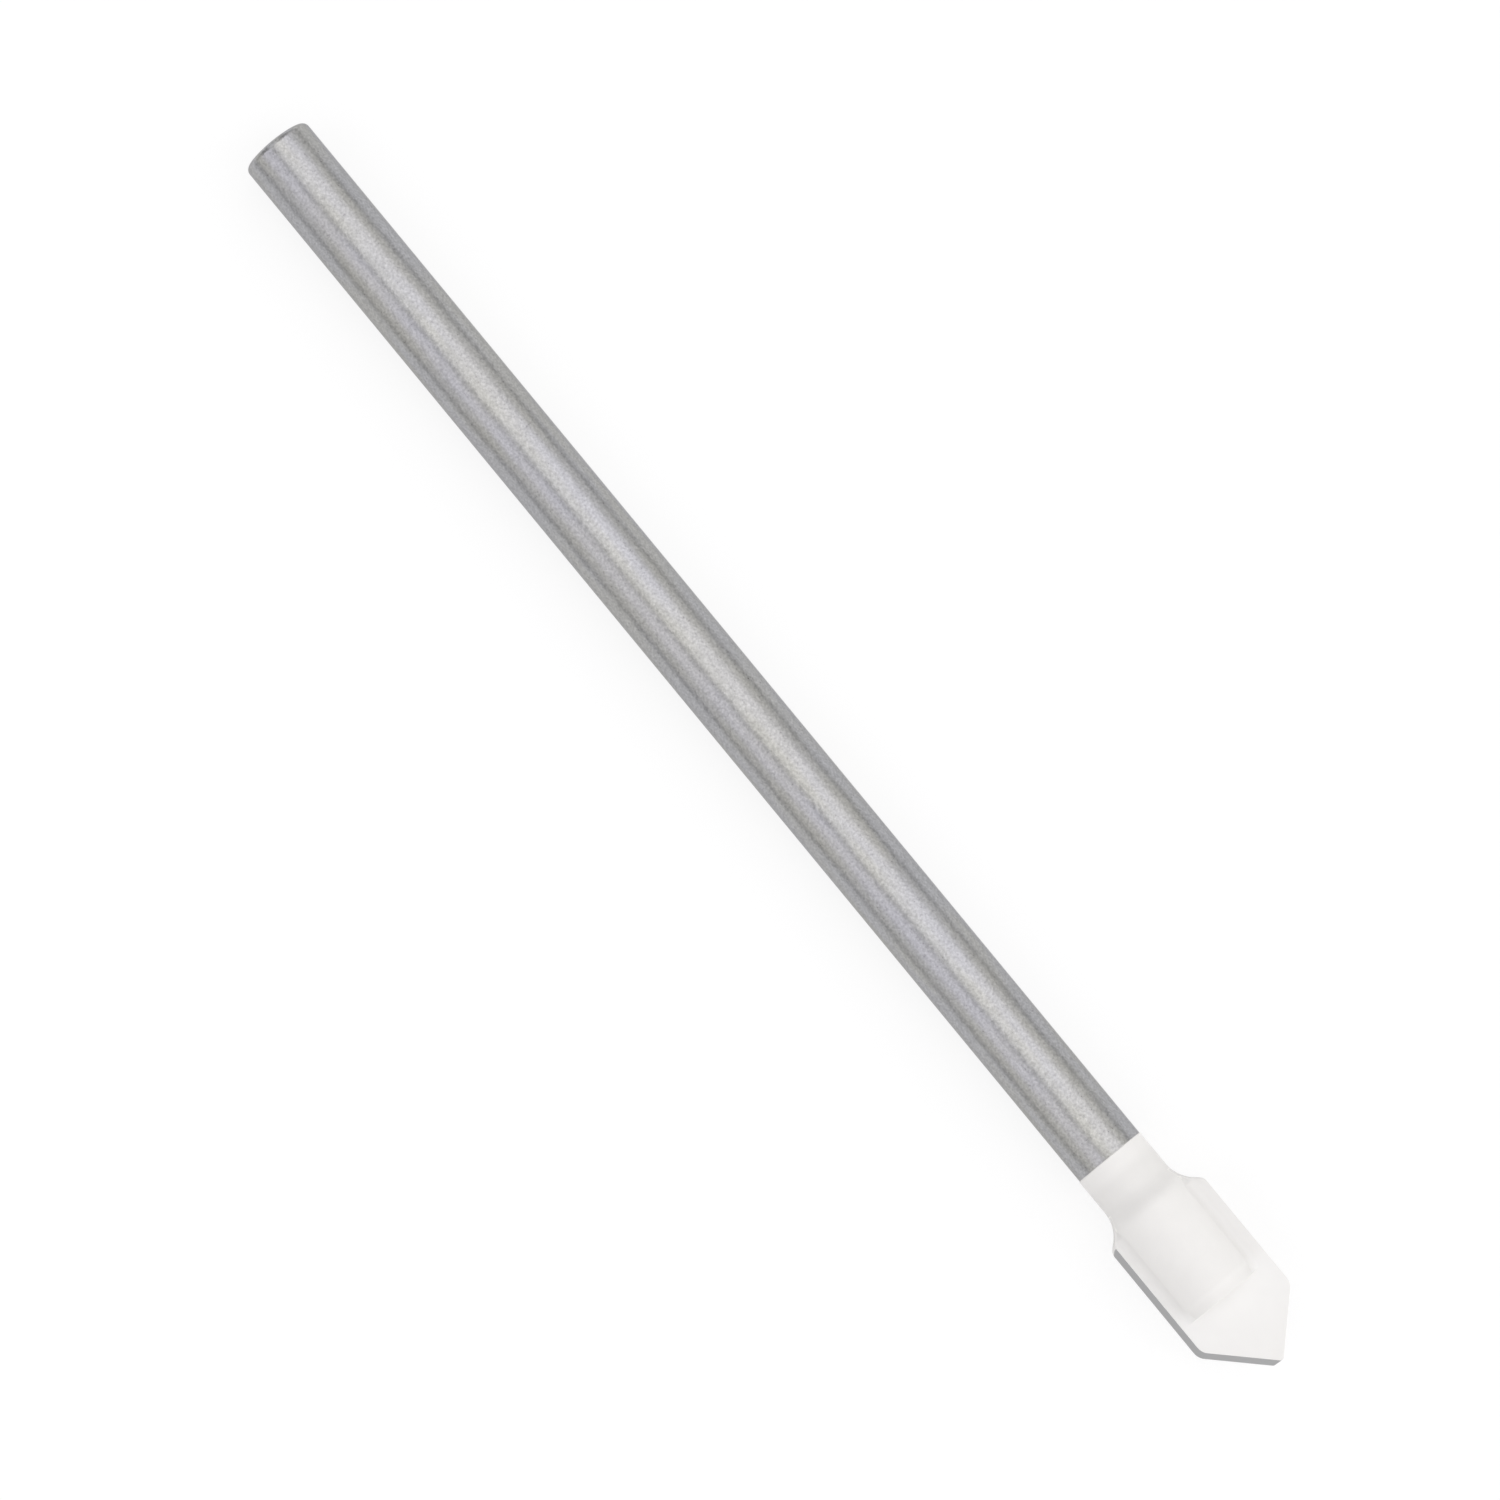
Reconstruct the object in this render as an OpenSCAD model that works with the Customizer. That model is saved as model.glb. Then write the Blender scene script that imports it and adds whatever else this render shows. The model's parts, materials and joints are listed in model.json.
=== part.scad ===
// Glass and tile drill bit: a round steel shank with a slotted head and a brazed carbide spear tip.
// It lies along X with its point towards +X, its blade level and Z up. Sizes are in millimetres.

/* [Shank] */
// Diameter of the ground shank, which the chuck grips
shank_d = 4.1; // [3:0.05:4.5]
// Length from the crown of the domed end to the line where the grinding stops
shank_len = 70.45; // [30:0.05:150]
// Radius of the shallow dome on the end
dome_r = 5; // [2.5:0.1:20]
// Radius of the rim between the dome and the shank
rim_r = 0.24; // [0.1:0.02:0.5]
// How far the ground shank lies below the blasted neck
grind_depth = 0.03; // [0.02:0.01:0.2]

/* [Head] */
// Straight length of the neck, from the grinding line to the flare
neck_len = 2.13; // [1:0.01:5]
// Radius of the concave flare behind the head and the blade
flare_r = 2.03; // [1:0.01:4]
// Diameter of the head
head_d = 4.75; // [4.7:0.05:6]
// Length from the grinding line to the square ends of the jaws
head_len = 9.53; // [8:0.01:14]
// Length of the taper at the ends of the jaws
jaw_taper_len = 0.75; // [0.2:0.05:2]
// Diameter across the square ends of the jaws
jaw_end_d = 4.48; // [3:0.02:4.7]
// Depth of the slot, from the ends of the jaws
slot_depth = 7.1; // [4:0.1:9]

/* [Blade] */
// Cutting width across the sides of the blade
blade_w = 6.35; // [5.2:0.05:8]
// Thickness of the blade
blade_t = 1.5; // [0.8:0.05:2.2]
// Length from the back end of the blade to its chisel edge
blade_len = 11.6; // [9:0.1:16]
// Angle between the two cutting lips
point_angle = 90; // [60:1:130]
// Relief angle ground behind each cutting edge
relief_angle = 13.2; // [4:0.2:20]

/* [Fit] */
// Gap between the blade and the slot, which the braze fills
braze_gap = 0.08; // [0.04:0.01:0.15]

/* [Hidden] */
$fn = 96;

shank_r = shank_d / 2;
neck_r = shank_r + grind_depth;
head_r = head_d / 2;

// Distances along the axis are counted from the grinding line, positive towards the point
slot_floor = head_len - slot_depth;
blade_back = slot_floor + braze_gap;
blade_end = blade_back + blade_len;
slot_w = blade_t + 2 * braze_gap;

// The lips would meet this far along if the relief took nothing off the point
relief_drop = blade_t * tan(relief_angle);
apex = blade_end + relief_drop / (2 * sin(point_angle / 2));

// The origin is under the middle of the bit, on the surface that the head rests on
overall_len = shank_len + blade_end;
line_x = overall_len / 2 - blade_end;
axis_z = max(head_r, neck_r);

// Cutters run past the steel and the carbide by this much
overrun = 1;
reach = blade_w + head_d + apex;

// Puts a shape drawn from the grinding line along +X on the axis of the bit
module on_axis() {
    translate([line_x, 0, axis_z]) children();
}

// Turns a half section about the axis: across the section is the radius, up it is the distance
module turned() {
    on_axis() rotate([0, 90, 0]) rotate_extrude() children();
}

// Half section of the ground shank: the dome, the rim that blends it in, and the straight rod
module shank_section() {
    rim_x = shank_r - rim_r;
    dome_to_rim = dome_r - rim_r;
    rim_rise = sqrt(dome_to_rim * dome_to_rim - rim_x * rim_x);
    dome_y = dome_r - shank_len;
    rim_y = dome_y - rim_rise;
    past_dome = 2 * dome_r / dome_to_rim;

    intersection() {
        translate([0, dome_y]) circle(r = dome_r);
        polygon([
            [0, dome_y],
            [0, dome_y - 2 * dome_r],
            [rim_x * past_dome, dome_y - rim_rise * past_dome]
        ]);
    }
    translate([rim_x, rim_y]) circle(r = rim_r);
    translate([0, rim_y]) square([shank_r, -rim_y]);
}

// Half section of what the forming wheel takes away around the neck and up the flare
module wheel_section() {
    translate([neck_r, -overrun]) square([reach, neck_len + overrun]);
    translate([neck_r + flare_r, neck_len]) circle(r = flare_r);
    translate([neck_r + flare_r, -overrun]) square([reach, neck_len + flare_r + overrun]);
}

// Half section of the neck, the flare and the head with its tapered end
module head_section() {
    difference() {
        polygon([
            [0, 0],
            [head_r, 0],
            [head_r, head_len - jaw_taper_len],
            [jaw_end_d / 2, head_len],
            [0, head_len]
        ]);
        wheel_section();
    }
}

// Flat bar on the axis, from one distance along it to another
module bar(from, to, width, thickness) {
    on_axis() translate([from, -width / 2, -thickness / 2]) cube([to - from, width, thickness]);
}

// Half-space beyond one ground flank: through a point of its edge on the upper face, facing the
// given way in plan and leaning in below by the relief angle
module flank(edge, facing) {
    translate([edge.x, edge.y, blade_t / 2])
        rotate([0, relief_angle, facing])
            translate([0, -reach, -reach])
                cube([reach, 2 * reach, 2 * reach]);
}

// Steel rod with its domed end, neck, flare and slotted head
module shank() {
    color("darkgray")
        difference() {
            turned() {
                shank_section();
                head_section();
            }
            bar(slot_floor, head_len + overrun, head_d + overrun, slot_w);
        }
}

// Carbide spear blade: two sides and two lips, each relieved from the opposite face to its twin,
// with shoulders formed by the same wheel as the flare
module carbide_tip() {
    color("gainsboro")
        difference() {
            bar(blade_back, apex, blade_w, blade_t);
            on_axis()
                for (turn = [0, 180])
                    rotate([turn, 0, 0]) {
                        flank([0, blade_w / 2], 90);
                        flank([apex, 0], 90 - point_angle / 2);
                    }
            turned() wheel_section();
        }
}

// Braze that fills the slot on both faces of the blade and under its back end
module silver_braze() {
    color("silver")
        difference() {
            intersection() {
                turned() head_section();
                bar(slot_floor, head_len, head_d, slot_w);
            }
            bar(blade_back, apex, head_d + overrun, blade_t);
        }
}

shank();
carbide_tip();
silver_braze();
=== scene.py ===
"""Looks of a spear-point drill bit for glass and tile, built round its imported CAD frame.

The bit lies along X with its point towards +X, its blade level across Y, and Z up.
Sizes are in metres.
"""

import json
import math

import bmesh
import bpy
from mathutils import Matrix, Vector


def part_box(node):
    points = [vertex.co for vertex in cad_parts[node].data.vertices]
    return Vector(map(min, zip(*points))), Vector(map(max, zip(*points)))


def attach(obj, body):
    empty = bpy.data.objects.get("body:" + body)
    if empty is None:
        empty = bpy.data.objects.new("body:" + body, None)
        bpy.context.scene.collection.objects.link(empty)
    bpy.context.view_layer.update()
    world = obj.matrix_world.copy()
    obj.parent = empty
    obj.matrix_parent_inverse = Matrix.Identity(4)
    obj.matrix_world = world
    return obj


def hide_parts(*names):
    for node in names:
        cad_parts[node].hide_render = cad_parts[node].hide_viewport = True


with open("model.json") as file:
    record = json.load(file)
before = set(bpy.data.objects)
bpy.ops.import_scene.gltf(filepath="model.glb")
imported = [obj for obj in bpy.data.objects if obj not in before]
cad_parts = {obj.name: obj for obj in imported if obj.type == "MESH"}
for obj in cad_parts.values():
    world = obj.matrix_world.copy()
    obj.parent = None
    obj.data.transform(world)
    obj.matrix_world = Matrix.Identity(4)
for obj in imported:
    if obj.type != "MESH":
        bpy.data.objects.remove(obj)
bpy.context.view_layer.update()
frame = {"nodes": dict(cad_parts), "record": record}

MM = 0.001

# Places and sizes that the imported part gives
shank_low, shank_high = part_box("shank")
blade_low, blade_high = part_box("carbide_tip")
film_low, film_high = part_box("silver_braze")
grip = frame["record"]["mounts"][0]

AXIS_Z = grip["pos_m"][2]
SHANK_R = grip["dims"]["r_mm"] * MM
LINE_X = grip["pos_m"][0] + grip["dims"]["length_mm"] * MM / 2
CROWN_X = shank_low.x
JAW_END_X = shank_high.x
HEAD_R = AXIS_Z
SLOT_FLOOR_X = film_low.x
SLOT_T = film_high.z - film_low.z
BLADE_BACK_X = blade_low.x
BLADE_END_X = blade_high.x
BLADE_W = blade_high.y - blade_low.y
BLADE_T = blade_high.z - blade_low.z

# Sizes that the part's source sets
GRIND_DEPTH = 0.03 * MM
NECK_R = SHANK_R + GRIND_DEPTH
NECK_LEN = 2.13 * MM
FLARE_R = 2.03 * MM
JAW_TAPER_LEN = 0.75 * MM
JAW_END_R = 2.24 * MM
HALF_POINT = math.radians(90) / 2
RELIEF = math.tan(math.radians(13.2))

# How far each end and edge is rounded off
DOME_R = 8 * MM
RIM_R = 0.34 * MM
STEP_LEN = 0.03 * MM
CREASE_SOFT = 1.8 * MM
TAPER_SOFT = 1.6 * MM
JAW_SOFT = 0.03 * MM
SHOULDER_SOFT = 0.4 * MM
CORNER_SOFT = 0.8 * MM
CHISEL_SOFT = 0.16 * MM
EDGE_SOFT = 0.03 * MM
FILLET_R = 0.75 * MM

# How finely the pieces are cut
TURN_SEGMENTS = 192
DOME_STEPS = 16
RIM_STEPS = 12
WALL_STEPS = 30
NECK_STEPS = 4
FLARE_STEPS = 24
HEAD_STEPS = 6
JAW_FACE_STEPS = 6
SHOULDER_STEPS = 30
BLADE_LEVELS = 8
EDGE_STEPS = 3
SOFT_STEPS = 6
FILLET_ARC_STEPS = 8
FILLET_STEPS = 16
WELD_GAP = 0.0001 * MM
SHARP_ANGLE = math.radians(24)

# Where the concave flare starts, and how far from the axis the middle of its arc lies
FLARE_X = LINE_X + NECK_LEN
FLARE_MID_R = NECK_R + FLARE_R


def placed(name, data):
    """A new object in the scene, at the origin."""
    made = bpy.data.objects.new(name, data)
    bpy.context.scene.collection.objects.link(made)
    return made


def spread(start, stop, steps):
    """Evenly spaced numbers from start to stop, both included."""
    return [start + (stop - start) * i / steps for i in range(steps + 1)]


def softened(before, corner, after, radius):
    """Points of the arc that rounds off the corner of a path in a plane."""
    corner = Vector(corner)
    inward = (Vector(before) - corner).normalized()
    onward = (Vector(after) - corner).normalized()
    half = inward.angle(onward) / 2
    middle = corner + (inward + onward).normalized() * radius / math.sin(half)
    first = corner + inward * radius / math.tan(half) - middle
    last = corner + onward * radius / math.tan(half) - middle
    start = math.atan2(first.y, first.x)
    turn = math.remainder(math.atan2(last.y, last.x) - start, math.tau)
    angles = spread(start, start + turn, SOFT_STEPS)
    return [(middle.x + radius * math.cos(a), middle.y + radius * math.sin(a)) for a in angles]


def flare_run(start_x, top_r, soft, steps):
    """The flare's arc from a place along it up to a wall, with the edge there rounded off."""
    soft_r = top_r - soft
    soft_x = FLARE_X + math.sqrt((FLARE_R + soft) ** 2 - (FLARE_MID_R - soft_r) ** 2)
    start = math.asin((start_x - FLARE_X) / FLARE_R)
    touch = math.acos((FLARE_MID_R - soft_r) / (FLARE_R + soft))
    hollow = [
        (FLARE_X + FLARE_R * math.sin(a), FLARE_MID_R - FLARE_R * math.cos(a))
        for a in spread(start, touch, steps)
    ]
    edge = [
        (soft_x - soft * math.sin(a), soft_r + soft * math.cos(a))
        for a in spread(touch, 0, SOFT_STEPS)
    ]
    return hollow + edge[1:]


def shank_section():
    """Half section of the turned steel as (distance along X, radius), from its crown on."""
    dome_x = CROWN_X + DOME_R
    rim_mid_r = SHANK_R - RIM_R
    lean = math.asin(rim_mid_r / (DOME_R - RIM_R))
    rim_x = dome_x - (DOME_R - RIM_R) * math.cos(lean)
    taper_x = JAW_END_X - JAW_TAPER_LEN
    dome = [
        (dome_x - DOME_R * math.cos(a), DOME_R * math.sin(a))
        for a in spread(0, lean, DOME_STEPS)
    ]
    rim = [
        (rim_x - RIM_R * math.cos(a), rim_mid_r + RIM_R * math.sin(a))
        for a in spread(lean, math.pi / 2, RIM_STEPS)
    ]
    wall = [(x, SHANK_R) for x in spread(rim_x + RIM_R / 2, LINE_X, WALL_STEPS)]
    neck = [(x, NECK_R) for x in spread(LINE_X + STEP_LEN, FLARE_X, NECK_STEPS)]
    flare = flare_run(FLARE_X, HEAD_R, CREASE_SOFT, FLARE_STEPS)
    jaw_corner = (JAW_END_X, JAW_END_R)
    shoulder = softened((flare[-1][0], HEAD_R), (taper_x, HEAD_R), jaw_corner, TAPER_SOFT)
    head = [(x, HEAD_R) for x in spread(flare[-1][0], shoulder[0][0], HEAD_STEPS)]
    end = softened(shoulder[-1], jaw_corner, (JAW_END_X, 0), JAW_SOFT)
    face = [(JAW_END_X, r) for r in spread(end[-1][1], 0, JAW_FACE_STEPS)]
    return dome + rim[1:] + wall + neck + flare[1:] + head[1:-1] + shoulder + end + face[1:]


class Socket:
    """An output socket that Python's operators work on: each operator adds a Math node."""

    def __init__(self, graph, socket):
        self.graph = graph
        self.socket = socket

    def maths(self, operation, *values):
        """One Math node with these values or sockets."""
        return self.graph.node("ShaderNodeMath", {"operation": operation}, dict(enumerate(values)))

    def __add__(self, other):
        return self.maths("ADD", self, other)

    def __radd__(self, other):
        return self.maths("ADD", other, self)

    def __sub__(self, other):
        return self.maths("SUBTRACT", self, other)

    def __rsub__(self, other):
        return self.maths("SUBTRACT", other, self)

    def __mul__(self, other):
        return self.maths("MULTIPLY", self, other)

    def __rmul__(self, other):
        return self.maths("MULTIPLY", other, self)

    def __truediv__(self, other):
        return self.maths("DIVIDE", self, other)

    def __rtruediv__(self, other):
        return self.maths("DIVIDE", other, self)


class Graph:
    """A node tree, with one method that adds any node to it."""

    def __init__(self, tree):
        self.tree = tree
        tree.nodes.clear()

    def node(self, kind, settings=None, inputs=None, output=0):
        """Adds a node: its settings first, then the values or links of its sockets."""
        made = self.tree.nodes.new(kind)
        for name, value in (settings or {}).items():
            setattr(made, name, value)
        for name, value in (inputs or {}).items():
            if isinstance(value, Socket):
                self.tree.links.new(value.socket, made.inputs[name])
            else:
                made.inputs[name].default_value = value
        return Socket(self, made.outputs[output]) if made.outputs else made

    def mix(self, factor, low, high):
        """Colour between two colours."""
        return self.node("ShaderNodeMix", {"data_type": "RGBA"}, {0: factor, 6: low, 7: high}, 2)

    def ease(self, value, start, stop):
        """0 up to start, 1 from stop on, and a smooth rise between them."""
        return self.node(
            "ShaderNodeMapRange",
            {"interpolation_type": "SMOOTHSTEP"},
            {"Value": value, "From Min": start, "From Max": stop},
        )

    def noise(self, pitch, detail=2.0, rough=0.5):
        """Noise on Object coordinates whose marks are about as long on each axis as pitch says."""
        place = self.node("ShaderNodeTexCoord", output="Object")
        scale = [1 / length for length in pitch]
        scaled = self.node("ShaderNodeMapping", None, {"Vector": place, "Scale": scale})
        return self.node(
            "ShaderNodeTexNoise",
            None,
            {"Vector": scaled, "Scale": 1.0, "Detail": detail, "Roughness": rough},
        )

    def along_x(self):
        """Distance along the bit on Object coordinates."""
        place = self.node("ShaderNodeTexCoord", output="Object")
        return self.node("ShaderNodeSeparateXYZ", None, {0: place}, "X")

    def bump(self, height, strength, depth):
        """Normal of a surface that a height pattern raises by up to a depth."""
        return self.node(
            "ShaderNodeBump",
            None,
            {"Height": height, "Strength": strength, "Distance": depth},
        )

    def surface(self, **inputs):
        """The finished shader, with sockets named in lower case."""
        named = {name.replace("_", " ").title(): value for name, value in inputs.items()}
        shader = self.node("ShaderNodeBsdfPrincipled", None, named)
        self.node("ShaderNodeOutputMaterial", None, {"Surface": shader})


def new_finish(name):
    """A new material and the graph of its nodes."""
    material = bpy.data.materials.new(name)
    material.use_nodes = True
    return material, Graph(material.node_tree)


def ground_steel():
    """Satin steel from the grinding wheel: fine speckle, faint rings and a slow drift of tint."""
    material, graph = new_finish("ground_steel")
    speckle = graph.noise((0.14 * MM,) * 3, detail=3.0, rough=0.65)
    rings = graph.noise((0.1 * MM, 1.5 * MM, 1.5 * MM))
    drift = graph.noise((7 * MM, 1.3 * MM, 1.3 * MM), detail=1.0)
    cool = graph.mix(speckle, (0.165, 0.165, 0.17, 1), (0.635, 0.635, 0.656, 1))
    warm = graph.mix(speckle, (0.167, 0.166, 0.162, 1), (0.643, 0.638, 0.624, 1))
    graph.surface(
        base_color=graph.mix(graph.ease(drift, 0.35, 0.65), cool, warm),
        metallic=1.0,
        specular_tint=(0.7, 0.7, 0.7, 1),
        roughness=0.24 + 0.06 * speckle + 0.04 * rings,
        normal=graph.bump(0.8 * speckle + 0.2 * rings, 1.0, 0.014 * MM),
    )
    return material


def blasted_steel():
    """Pale matte steel from the blasting cabinet, with painted shade in the hollow and on the taper
    before the jaws' ends.
    """
    material, graph = new_finish("blasted_steel")
    pits = graph.noise((0.07 * MM,) * 3, detail=3.0, rough=0.65)
    mottle = graph.noise((0.9 * MM,) * 3)
    along = graph.along_x()
    # Painted shade: the hollow of the neck and flare, and the taper before the jaws' ends, are
    # darkened in the colour
    into_hollow = graph.ease(along, LINE_X + 0.63 * MM, LINE_X + 1.33 * MM)
    out_of_hollow = graph.ease(along, FLARE_X + 0.1 * MM, FLARE_X + 0.9 * MM)
    hollow = into_hollow * (1 - out_of_hollow)
    jaws = graph.ease(along, JAW_END_X - 1.0 * MM, JAW_END_X - 0.1 * MM)
    mottle_and_painted_shade = 0.4 + 0.3 * (pits + mottle) - 0.35 * hollow - 0.36 * jaws
    graph.surface(
        base_color=graph.mix(mottle_and_painted_shade, (0.653, 0.644, 0.628, 1), (0.766, 0.756, 0.74, 1)),
        metallic=0.1,
        roughness=0.58 + 0.12 * pits,
        normal=graph.bump(pits, 0.3, 0.008 * MM),
    )
    return material


def face_carbide():
    """Pale fine-ground faces of the blade: faint grinding marks across it, and painted light on the
    point beside the jaws' ends that fades towards the chisel.
    """
    material, graph = new_finish("face_carbide")
    marks = graph.noise((0.06 * MM, 0.9 * MM, 0.9 * MM))
    mottle = graph.noise((1.1 * MM,) * 3)
    along = graph.along_x()
    # Painted light: the point is lighter next to the jaws' ends, as if lit by light thrown off
    # them, and fades back to the body colour towards the chisel
    point = graph.ease(along, JAW_END_X - 1.1 * MM, JAW_END_X - 0.1 * MM)
    painted_bounce_fade = graph.ease(along, JAW_END_X + 0.3 * MM, JAW_END_X + 4.9 * MM)
    body = graph.mix(mottle, (0.684, 0.675, 0.66, 1), (0.716, 0.707, 0.692, 1))
    painted_bounce_light = graph.mix(mottle, (0.714, 0.708, 0.696, 1), (0.749, 0.743, 0.73, 1))
    tip = graph.mix(painted_bounce_fade, painted_bounce_light, body)
    graph.surface(
        base_color=graph.mix(point, body, tip),
        metallic=0.1,
        roughness=0.52 + 0.1 * marks,
        normal=graph.bump(marks, 0.2, 0.006 * MM),
    )
    return material


def flank_carbide():
    """Grey relief flanks, fresh from the diamond wheel: fine lines along each edge."""
    material, graph = new_finish("flank_carbide")
    lines = graph.noise((0.8 * MM, 0.8 * MM, 0.05 * MM))
    graph.surface(
        base_color=graph.mix(lines, (0.28, 0.28, 0.284, 1), (0.35, 0.35, 0.354, 1)),
        metallic=1.0,
        roughness=0.34 + 0.1 * lines,
        normal=graph.bump(lines, 0.3, 0.006 * MM),
    )
    return material


def silver_braze():
    """Braze as it set in the joint: a warm silver skin, slightly uneven."""
    material, graph = new_finish("silver_braze")
    skin = graph.noise((0.15 * MM,) * 3, detail=3.0)
    graph.surface(
        base_color=graph.mix(skin, (0.74, 0.73, 0.705, 1), (0.82, 0.81, 0.785, 1)),
        metallic=0.4,
        roughness=0.42 + 0.15 * skin,
        normal=graph.bump(skin, 0.3, 0.01 * MM),
    )
    return material


def turning_tree():
    """Geometry Nodes tree that turns a half section, saws the slot and lays on both finishes."""
    tree = bpy.data.node_groups.new("turned_and_slotted", "GeometryNodeTree")
    graph = Graph(tree)
    kinds = {
        "Half section": "Geometry",
        "Segments": "Int",
        "Axis height": "Float",
        "Slot floor": "Float",
        "Slot end": "Float",
        "Slot width": "Float",
        "Slot thickness": "Float",
        "Grinding line": "Float",
        "Shank finish": "Material",
        "Head finish": "Material",
    }
    for name, kind in kinds.items():
        tree.interface.new_socket(name, in_out="INPUT", socket_type="NodeSocket" + kind)
    tree.interface.new_socket("Steel", in_out="OUTPUT", socket_type="NodeSocketGeometry")
    given = {name: graph.node("NodeGroupInput", output=name) for name in kinds}
    axis = given["Axis height"]

    # A sheet of stations by segments, whose points take their place from the section and their turn
    section = given["Half section"]
    size = {"Geometry": section}
    stations = graph.node("GeometryNodeAttributeDomainSize", None, size, "Point Count")
    across = given["Segments"] + 1
    counts = {"Vertices X": stations, "Vertices Y": across}
    sheet = graph.node("GeometryNodeMeshGrid", None, counts, "Mesh")
    index = graph.node("GeometryNodeInputIndex")
    station = index.maths("FLOOR", (index + 0.5) / across)
    turn = (index - station * across) * math.tau / given["Segments"]
    place = graph.node("GeometryNodeInputPosition")
    drawn = graph.node(
        "GeometryNodeSampleIndex",
        {"data_type": "FLOAT_VECTOR"},
        {"Geometry": section, "Value": place, "Index": station},
    )
    along = graph.node("ShaderNodeSeparateXYZ", None, {0: drawn}, "X")
    radius = graph.node("ShaderNodeSeparateXYZ", None, {0: drawn}, "Y")
    swung = graph.node(
        "ShaderNodeCombineXYZ",
        None,
        {
            "X": along,
            "Y": radius * turn.maths("COSINE", turn),
            "Z": axis + radius * turn.maths("SINE", turn),
        },
    )
    turned = graph.node("GeometryNodeSetPosition", None, {"Geometry": sheet, "Position": swung})
    seam = {"Geometry": turned, "Distance": WELD_GAP}
    closed = graph.node("GeometryNodeMergeByDistance", None, seam)

    # The saw is a bar from the slot's floor to past the jaws
    saw_len = given["Slot end"] - given["Slot floor"]
    saw_mid = (given["Slot end"] + given["Slot floor"]) / 2
    saw_size = graph.node(
        "ShaderNodeCombineXYZ",
        None,
        {"X": saw_len, "Y": given["Slot width"], "Z": given["Slot thickness"]},
    )
    saw = graph.node("GeometryNodeMeshCube", None, {"Size": saw_size}, "Mesh")
    saw_place = graph.node("ShaderNodeCombineXYZ", None, {"X": saw_mid, "Z": axis})
    saw = graph.node("GeometryNodeTransform", None, {"Geometry": saw, "Translation": saw_place})
    slotted = graph.node(
        "GeometryNodeMeshBoolean",
        {"operation": "DIFFERENCE", "solver": "EXACT"},
        {"Mesh 1": closed, "Mesh 2": saw},
    )

    # The finish changes at the grinding line
    whole = graph.node("GeometryNodeRealizeInstances", None, {"Geometry": slotted})
    all_steel = {"Geometry": whole, "Material": given["Shank finish"]}
    ground = graph.node("GeometryNodeSetMaterial", None, all_steel)
    place_x = graph.node("ShaderNodeSeparateXYZ", None, {0: place}, "X")
    beyond = graph.node(
        "FunctionNodeCompare",
        {"data_type": "FLOAT", "operation": "GREATER_THAN"},
        {"A": place_x, "B": given["Grinding line"]},
    )
    head_steel = {"Geometry": ground, "Selection": beyond, "Material": given["Head finish"]}
    dressed = graph.node("GeometryNodeSetMaterial", None, head_steel)
    graph.node("NodeGroupOutput", None, {"Steel": dressed})
    return tree


def loft(shape, rings):
    """Rows of faces through rings of equally many points, with flat ends."""
    rows = []
    for lower, upper in zip(rings, rings[1:]):
        corners = zip(lower, lower[1:] + lower[:1], upper[1:] + upper[:1], upper)
        rows.append([shape.faces.new(corner) for corner in corners])
    shape.faces.new(rings[0])
    shape.faces.new(rings[-1])
    return rows


def smooth_but_sharp(mesh):
    """Smooth shading that keeps the real edges crisp."""
    mesh.shade_smooth()
    mesh.set_sharp_from_angle(angle=SHARP_ANGLE)


def finished_piece(name, shape, finishes):
    """An object from a closed shape, with its faces turned outwards."""
    bmesh.ops.recalc_face_normals(shape, faces=shape.faces)
    mesh = bpy.data.meshes.new(name)
    shape.to_mesh(mesh)
    shape.free()
    for finish in finishes:
        mesh.materials.append(finish)
    smooth_but_sharp(mesh)
    return placed(name, mesh)


def turned_shank(shank_finish, head_finish):
    """The steel rod with its domed end, neck, flare and slotted head."""
    section = [(x, r, 0) for x, r in shank_section()]
    drawing = bpy.data.meshes.new("shank_section")
    drawing.from_pydata(section, [(i, i + 1) for i in range(len(section) - 1)], [])
    blank = placed("shank_blank", drawing)
    tree = turning_tree()
    sizes = {
        "Segments": TURN_SEGMENTS,
        "Axis height": AXIS_Z,
        "Slot floor": SLOT_FLOOR_X,
        "Slot end": JAW_END_X + HEAD_R,
        "Slot width": 3 * HEAD_R,
        "Slot thickness": SLOT_T,
        "Grinding line": LINE_X,
        "Shank finish": shank_finish,
        "Head finish": head_finish,
    }
    lathe = blank.modifiers.new("lathe", "NODES")
    lathe.node_group = tree
    for item in tree.interface.items_tree:
        if item.in_out == "INPUT" and item.name in sizes:
            lathe[item.identifier] = sizes[item.name]
    depsgraph = bpy.context.evaluated_depsgraph_get()
    mesh = bpy.data.meshes.new_from_object(blank.evaluated_get(depsgraph))
    bpy.data.objects.remove(blank)
    smooth_but_sharp(mesh)
    mesh.name = "turned_shank"
    return placed("turned_shank", mesh)


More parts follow.
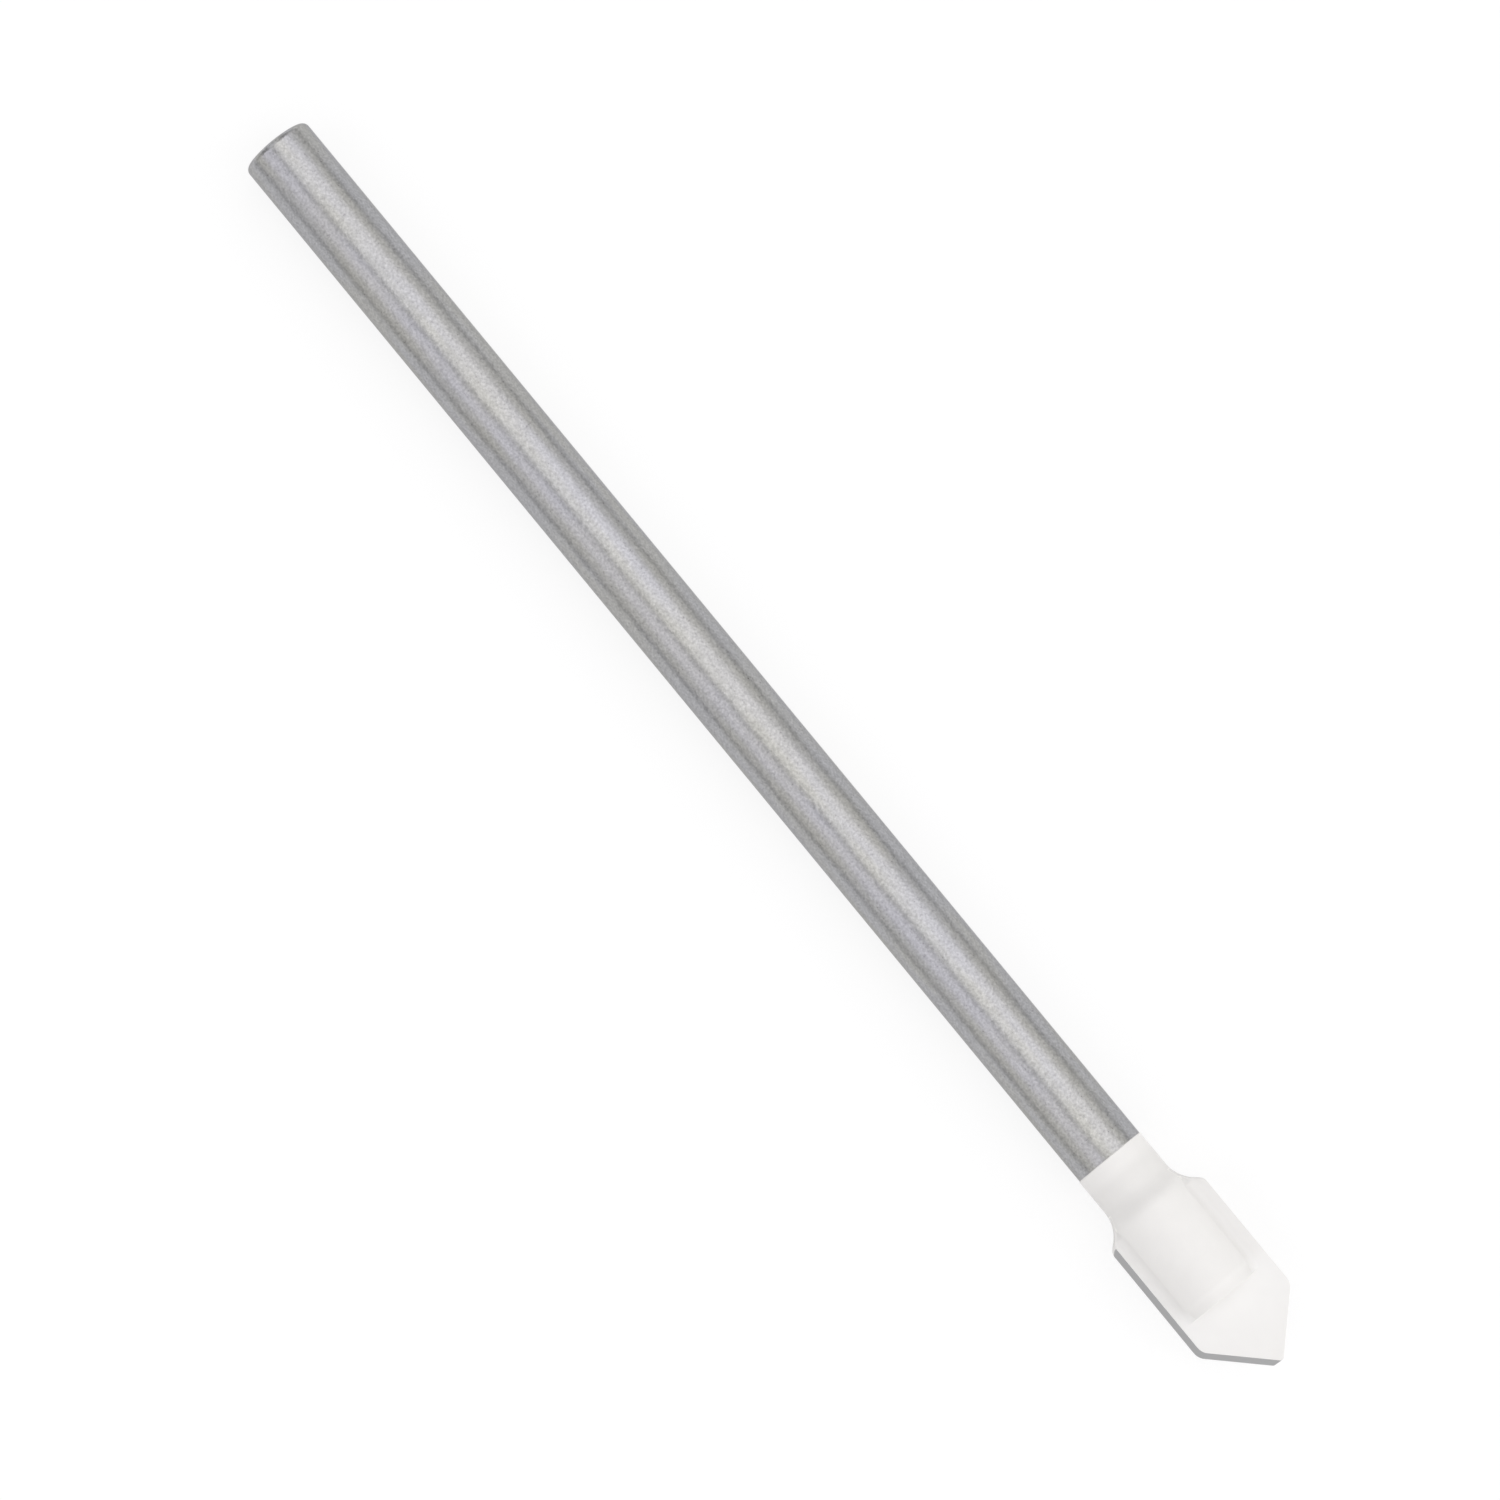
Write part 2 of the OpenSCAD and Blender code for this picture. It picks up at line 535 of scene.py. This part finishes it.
def blade_outline(z):
    """Plan of the blade at a height from its middle: a shoulder, the flanks, a shoulder."""
    low_side = BLADE_T / 2 - z
    high_side = BLADE_T / 2 + z
    apex = BLADE_END_X + RELIEF * BLADE_T / (2 * math.sin(HALF_POINT))
    chisel = (BLADE_END_X, RELIEF * z / math.cos(HALF_POINT))
    lean = math.tan(HALF_POINT)
    runs = []
    for side, gap in ((1, low_side), (-1, high_side)):
        edge = BLADE_W / 2 - RELIEF * gap
        corner_x = apex - RELIEF * gap / math.sin(HALF_POINT) - edge / lean
        wall = math.hypot(edge, z)
        rise = flare_run(BLADE_BACK_X, wall, SHOULDER_SOFT, SHOULDER_STEPS)
        shoulder = [(x, side * math.sqrt(r * r - z * z)) for x, r in rise]
        corner = (corner_x, side * edge)
        lip = softened(shoulder[-1], corner, chisel, CORNER_SOFT)
        runs.append((shoulder, lip, corner))
    (shoulder, lip, corner), (far_shoulder, far_lip, far_corner) = runs
    nose = softened(corner, chisel, far_corner, CHISEL_SOFT)
    flanks = lip + nose + far_lip[::-1]
    return shoulder, flanks, far_shoulder[::-1]


def drawn_in(points, depth):
    """A closed path in a plane, moved inwards by a small depth."""
    area = sum(a[0] * b[1] - b[0] * a[1] for a, b in zip(points, points[1:] + points[:1]))
    facing = math.copysign(depth, area)
    moved = []
    for before, here, after in zip(points[-1:] + points[:-1], points, points[1:] + points[:1]):
        arriving = (Vector(here) - Vector(before)).normalized()
        leaving = (Vector(after) - Vector(here)).normalized()
        along = (leaving + arriving).normalized()
        moved.append((here[0] - along.y * facing, here[1] + along.x * facing))
    return moved


def spear_blade(face_finish, flank_finish):
    """The carbide blade, lofted through plans of it from its lower face to its upper one."""
    half = BLADE_T / 2
    rounds = [(1 - math.cos(a), 1 - math.sin(a)) for a in spread(0, math.pi / 2, EDGE_STEPS)]
    bottom = [(EDGE_SOFT * rise - half, EDGE_SOFT * inset) for rise, inset in rounds]
    middle = [(z, 0) for z in spread(EDGE_SOFT - half, half - EDGE_SOFT, BLADE_LEVELS)[1:-1]]
    levels = bottom + middle + [(-z, inset) for z, inset in bottom[::-1]]

    shape = bmesh.new()
    rings = []
    for z, inset in levels:
        shoulder, flanks, far_shoulder = blade_outline(z)
        path = drawn_in(shoulder + flanks + far_shoulder, inset)
        rings.append([shape.verts.new((x, y, AXIS_Z + z)) for x, y in path])
    first_flank = len(shoulder) - 1
    last_flank = len(shoulder) + len(flanks)
    for row in loft(shape, rings)[EDGE_STEPS:-EDGE_STEPS]:
        for face in row[first_flank:last_flank]:
            face.material_index = 1
    return finished_piece("spear_blade", shape, [face_finish, flank_finish])


def radius_at(section, x):
    """Radius of a half section at a place along it."""
    for (start, start_r), (stop, stop_r) in zip(section, section[1:]):
        if start <= x < stop:
            return start_r + (stop_r - start_r) * (x - start) / (stop - start)


def fillet_section(x, jaw_r):
    """Section of one braze fillet beside a jaw, as (across, up from the axis) points."""
    face = BLADE_T / 2
    sink = FILLET_R / 8
    soft = FILLET_R
    # Along the flare the fillet ends where the forming wheel cut
    if x < FLARE_X + FLARE_R:
        wheel_r = FLARE_MID_R - math.sqrt(FLARE_R**2 - (x - FLARE_X) ** 2)
        soft = min(soft, (wheel_r**2 - jaw_r**2) / (2 * (jaw_r - face)))
    mid_z = face + soft
    mid_y = math.sqrt((jaw_r + soft) ** 2 - mid_z**2)
    start = math.atan2(-mid_z, -mid_y)
    angles = spread(start, -math.pi / 2, FILLET_ARC_STEPS)
    hollow = [(mid_y + soft * math.cos(a), mid_z + soft * math.sin(a)) for a in angles]
    inside = (hollow[0][0] - sink, hollow[0][1])
    return [inside] + hollow + [(mid_y, face - sink), (inside[0], face - sink)]


def braze_fillets(finish):
    """Four small fillets of braze along the feet of the jaws, ground off with the flare behind."""
    crease = math.sqrt(FLARE_R**2 - (FLARE_MID_R - HEAD_R) ** 2)
    stations = spread(FLARE_X + crease, FLARE_X + FLARE_R, FILLET_STEPS)
    stations += spread(FLARE_X + FLARE_R, JAW_END_X - JAW_SOFT, FILLET_STEPS)[1:]
    section = shank_section()
    outlines = [(x, fillet_section(x, radius_at(section, x))) for x in stations]
    shape = bmesh.new()
    for side in (1, -1):
        for up in (1, -1):
            rings = [
                [shape.verts.new((x, side * y, AXIS_Z + up * z)) for y, z in outline]
                for x, outline in outlines
            ]
            loft(shape, rings)
    return finished_piece("braze_fillets", shape, [finish])


def pale_floor():
    """A wide matt floor that shows white, also in reflections, and keeps a weak shadow."""
    half = 3.0
    glow_share = 0.8
    material, graph = new_finish("pale_floor")
    paint = graph.node("ShaderNodeBsdfDiffuse", None, {"Color": (0.94, 0.94, 0.94, 1)})
    white = graph.node("ShaderNodeEmission", None, {"Strength": 1.0})
    seen = [
        graph.node("ShaderNodeLightPath", output=kind)
        for kind in ("Is Camera Ray", "Is Glossy Ray", "Is Transmission Ray")
    ]
    any_seen = seen[0].maths("MAXIMUM", seen[0], seen[1].maths("MAXIMUM", seen[1], seen[2]))
    mixed = graph.node("ShaderNodeMixShader", None, {0: glow_share * any_seen, 1: paint, 2: white})
    graph.node("ShaderNodeOutputMaterial", None, {"Surface": mixed})
    mesh = bpy.data.meshes.new("pale_floor")
    corners = [(-half, -half, 0), (half, -half, 0), (half, half, 0), (-half, half, 0)]
    mesh.from_pydata(corners, [], [(0, 1, 2, 3)])
    mesh.materials.append(material)
    return placed("pale_floor", mesh)


def softbox(name, radiance, tint, leans, ends, turn=0):
    """A panel that fills a range of angles from straight up, leaning towards +Y before a turn."""
    distance = 4.0
    first, last = (math.radians(lean) for lean in leans)
    lean = (first + last) / 2
    swing = Matrix.Rotation(math.radians(turn), 3, "Z")
    lamp = bpy.data.lights.new(name, "AREA")
    lamp.shape = "RECTANGLE"
    lamp.size = ends[1] - ends[0]
    lamp.size_y = 2 * distance * math.tan((last - first) / 2)
    lamp.energy = math.pi * lamp.size * lamp.size_y * radiance
    lamp.color = tint
    middle = Vector((sum(ends) / 2, distance * math.sin(lean), distance * math.cos(lean)))
    holder = placed(name, lamp)
    holder.location = swing @ middle
    holder.rotation_euler = (-lean, 0, math.radians(turn))


def studio():
    """Long softboxes over the bit with a dim gap between them, and low panels all round it."""
    cream = (1.0, 0.985, 0.94)
    pale_lavender = (0.968, 0.957, 1.0)
    lavender = (0.935, 0.92, 1.0)
    white = (1.0, 1.0, 1.0)
    world = bpy.data.worlds.new("studio")
    world.use_nodes = True
    room = Graph(world.node_tree)
    dim = (0.32, 0.32, 0.32, 1)
    glow = room.node("ShaderNodeBackground", None, {"Color": dim, "Strength": 1.0})
    room.node("ShaderNodeOutputWorld", None, {"Surface": glow})
    bpy.context.scene.world = world
    overhead = (-2.0, 3.8)
    beside = (-4.0, 3.8)
    softbox("key_softbox", 1.22, cream, (-9, 18), overhead)
    softbox("key_edge_softbox", 1.28, pale_lavender, (18, 52), overhead)
    softbox("fill_softbox", 1.035, lavender, (-52, -18), overhead)
    softbox("right_panel", 0.685, cream, (54, 79), beside)
    softbox("left_panel", 0.655, cream, (-79, -54), beside)
    softbox("right_point_panel", 2.05, white, (56, 86), (-1.6, 1.6), -50)
    softbox("left_point_panel", 1.25, white, (56, 86), (-1.6, 1.6), -130)
    softbox("point_panel", 1.5, white, (56, 86), (-1.3, 1.3), -90)
    softbox("end_panel", 0.72, white, (30, 82), (-1.2, 1.2), 90)


def photo_camera():
    """A long lens above the point's end that shows the bit from corner to corner."""
    frame_span = 79.95 * MM
    lean = Matrix.Rotation(math.radians(4.5), 3, "Y")
    turn = Matrix.Rotation(math.radians(50.5), 3, "Z")
    camera = bpy.data.cameras.new("photo_camera")
    camera.lens = 189
    camera.sensor_width = 36
    camera.clip_start = 0.01
    distance = frame_span * camera.lens / camera.sensor_width
    aim = Vector((-0.69 * MM, -0.979 * MM, AXIS_Z))
    holder = placed("photo_camera", camera)
    holder.location = aim + lean @ Vector((0, 0, distance))
    holder.rotation_euler = (lean @ turn).to_euler()
    bpy.context.scene.camera = holder


photo_camera()
studio()
pale_floor()

steel = turned_shank(ground_steel(), blasted_steel())
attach(steel, "root")
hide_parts("shank")

face = face_carbide()
blade = spear_blade(face, flank_carbide())
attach(blade, "root")
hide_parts("carbide_tip")

braze = silver_braze()
frame["nodes"]["silver_braze"].material_slots[0].material = braze

# The fillets were dressed with the blade, so they are as pale as its faces
fillets = braze_fillets(face)
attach(fillets, "root")

bpy.context.scene.view_settings.view_transform = "Standard"
